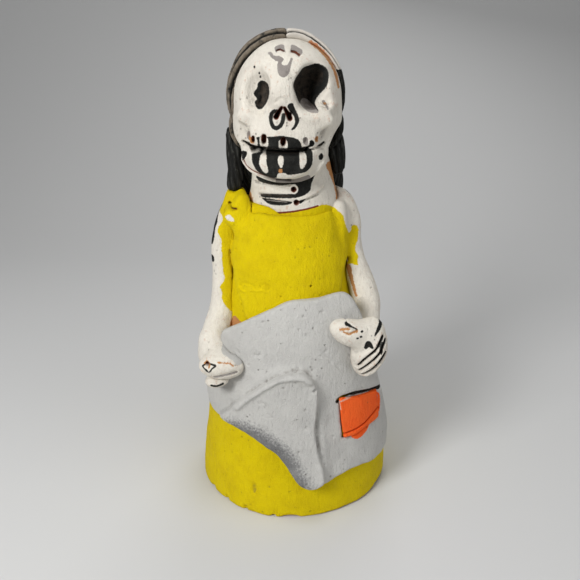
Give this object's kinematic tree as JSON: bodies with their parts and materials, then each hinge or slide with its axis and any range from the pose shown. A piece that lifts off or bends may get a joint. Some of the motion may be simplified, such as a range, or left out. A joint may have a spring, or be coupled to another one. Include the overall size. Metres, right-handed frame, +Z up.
{
  "type": "painted clay catrina figure",
  "caption": "Hand-built clay skeleton woman in a long bell dress who holds a cloth with an inlaid patch; hollow and open underneath, stands on its foot ring.",
  "frame": {"origin": "middle of the overall width and depth, on the surface the figure stands on; the centre of the foot ring is 1.9 mm behind it", "axes": "+Z up, the longest extent; the figure faces -Y; +X is to the viewer's right, which is the figure's left"},
  "size_m": [0.0727, 0.0765, 0.1636],
  "materials": {
    "yellow_paint": "matt brushed paint on terracotta",
    "white_paint": "matt brushed paint on terracotta, lined in black",
    "hair_paint": "satin black paint on terracotta, worn on the ridges",
    "grey_paint": "matt brushed paint on terracotta",
    "orange_paint": "matt brushed paint on terracotta"
  },
  "bodies": {
    "root": {"body_shell": "yellow_paint", "bodice_panel": "yellow_paint", "strap_front": "yellow_paint", "strap_back": "yellow_paint", "neck": "white_paint", "skull": "white_paint", "lower_jaw": "white_paint", "hair_right": "hair_paint", "hair_left": "hair_paint", "hair_back": "hair_paint", "lock_right": "hair_paint", "lock_left": "hair_paint", "right_arm": "white_paint", "left_arm": "white_paint", "right_hand": "white_paint", "right_thumb": "white_paint", "left_hand": "white_paint", "left_thumb": "white_paint", "cloth_sheet": "grey_paint", "cloth_patch": "orange_paint"}
  },
  "joints": []
}
